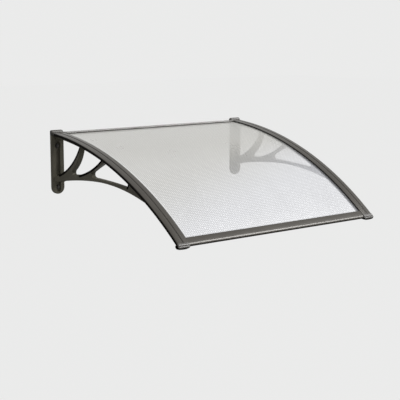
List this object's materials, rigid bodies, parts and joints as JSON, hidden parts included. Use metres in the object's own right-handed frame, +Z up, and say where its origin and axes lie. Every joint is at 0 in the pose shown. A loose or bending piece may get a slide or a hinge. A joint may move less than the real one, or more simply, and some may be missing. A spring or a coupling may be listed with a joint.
{
  "type": "door canopy",
  "caption": "Arched door canopy: a curved embossed polycarbonate sheet clamped in dark side rails and bars, carried by branching wall brackets.",
  "frame": {"origin": "middle of the canopy's wall side, in the wall plane, on the back face of the wall seal", "axes": "+X along the wall to the canopy's left-hand side as seen from the wall, +Y into the wall, +Z up; the canopy stands out towards -Y"},
  "size_m": [0.999, 0.8201, 0.3599],
  "materials": {
    "sheet": "clear polycarbonate, prismatic embossing, satin",
    "bracket": "moulded, dark anthracite brown",
    "rail": "extruded, dark bronze, fine lengthwise brushing",
    "cap": "moulded, dark bronze, satin",
    "rubber": "matt black",
    "screw": "black oxide"
  },
  "bodies": {
    "root": {"base_seal_left": "rubber", "base_seal_right": "rubber", "bracket_left": "bracket", "bracket_right": "bracket", "clamp_screw_left_1": "screw", "clamp_screw_left_2": "screw", "clamp_screw_left_3": "screw", "clamp_screw_left_4": "screw", "clamp_screw_left_5": "screw", "clamp_screw_right_1": "screw", "clamp_screw_right_2": "screw", "clamp_screw_right_3": "screw", "clamp_screw_right_4": "screw", "clamp_screw_right_5": "screw", "front_bar": "rail", "front_screw_1": "screw", "front_screw_2": "screw", "front_screw_3": "screw", "front_seal": "rubber", "front_strip": "rail", "head_cap_left": "cap", "head_cap_right": "cap", "nose_cap_left": "cap", "nose_cap_right": "cap", "rail_base_left": "rail", "rail_base_right": "rail", "rail_clamp_left": "rail", "rail_clamp_right": "rail", "rear_bar": "rail", "rear_screw_1": "screw", "rear_screw_2": "screw", "rear_screw_3": "screw", "rear_seal": "rubber", "rear_strip": "rail", "sheet": "sheet", "top_seal_left": "rubber", "top_seal_right": "rubber", "wall_screw_left_lower": "screw", "wall_screw_left_upper": "screw", "wall_screw_right_lower": "screw", "wall_screw_right_upper": "screw", "wall_seal": "rubber", "wall_washer_left_lower": "screw", "wall_washer_left_upper": "screw", "wall_washer_right_lower": "screw", "wall_washer_right_upper": "screw"}
  },
  "joints": []
}
